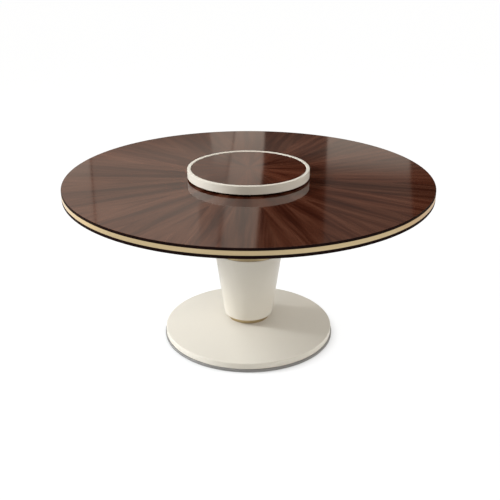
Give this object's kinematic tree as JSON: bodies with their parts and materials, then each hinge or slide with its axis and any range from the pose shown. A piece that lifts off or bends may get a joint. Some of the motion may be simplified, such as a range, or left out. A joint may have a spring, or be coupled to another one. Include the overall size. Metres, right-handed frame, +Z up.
{
  "type": "dining table with lazy susan",
  "caption": "Round pedestal dining table: sunburst-veneered top with a gold edge band, tapered lacquered column on a disc foot, and a ball-bearing turntable in the middle.",
  "frame": {"origin": "on the floor under the centre of the table", "axes": "+Z up along the axis of the column and the turntable; the table looks the same from every side"},
  "size_m": [1.5998, 1.5998, 0.795],
  "materials": {
    "walnut_veneer": "book-matched walnut leaves under a full-gloss clear lacquer",
    "dark_lacquer": "fibreboard with a dark brown high-gloss lacquered edge",
    "fibreboard": "raw fibreboard",
    "plywood": "raw birch plywood",
    "cream_lacquer": "satin cream lacquer over turned wood",
    "gold_metal": "fine brushed champagne gold",
    "graphite_steel": "graphite powder coat",
    "raw_steel": "drawn steel",
    "zinc_steel": "zinc plated",
    "polished_steel": "polished bearing steel",
    "aluminium": "clear anodised",
    "nylon": "natural nylon",
    "felt_grey": "dense felt"
  },
  "bodies": {
    "table": {"floor_glides": "felt_grey", "floor_plate": "graphite_steel", "base_cover": "cream_lacquer", "base_bolts": "zinc_steel", "cover_screws": "zinc_steel", "post_flange": "raw_steel", "post_tube": "raw_steel", "post_plug": "raw_steel", "top_plate": "graphite_steel", "plate_screws": "zinc_steel", "foot_ring": "gold_metal", "lower_cone": "cream_lacquer", "lower_cone_foot_disc": "plywood", "lower_cone_head_disc": "plywood", "middle_ring": "gold_metal", "upper_cone": "cream_lacquer", "upper_cone_foot_disc": "plywood", "upper_cone_head_disc": "plywood", "lower_panel": "dark_lacquer", "core_panel": "fibreboard", "edge_band": "gold_metal", "upper_panel": "dark_lacquer", "top_veneer": "walnut_veneer", "top_bolts": "zinc_steel", "top_washers": "zinc_steel", "top_inserts": "zinc_steel", "fixed_race": "aluminium", "fixed_race_screws": "zinc_steel"},
    "cage": {"ball_cage": "nylon", "bearing_balls": "polished_steel"},
    "turntable": {"moving_race": "aluminium", "moving_race_screws": "zinc_steel", "turntable_backer": "dark_lacquer", "turntable_board": "fibreboard", "turntable_rim": "cream_lacquer", "turntable_veneer": "walnut_veneer"}
  },
  "joints": [
    {"name": "turntable_spin", "type": "hinge", "parent": "table", "child": "turntable", "pos_m": [0, 0, 0.754], "axis": [0, 0, 1], "continuous": true},
    {"name": "cage_spin", "type": "hinge", "parent": "table", "child": "cage", "pos_m": [0, 0, 0.754], "axis": [0, 0, 1], "continuous": true}
  ],
  "couplings": [
    {"joint": "cage_spin", "follows": "turntable_spin", "ratio": 0.5}
  ]
}
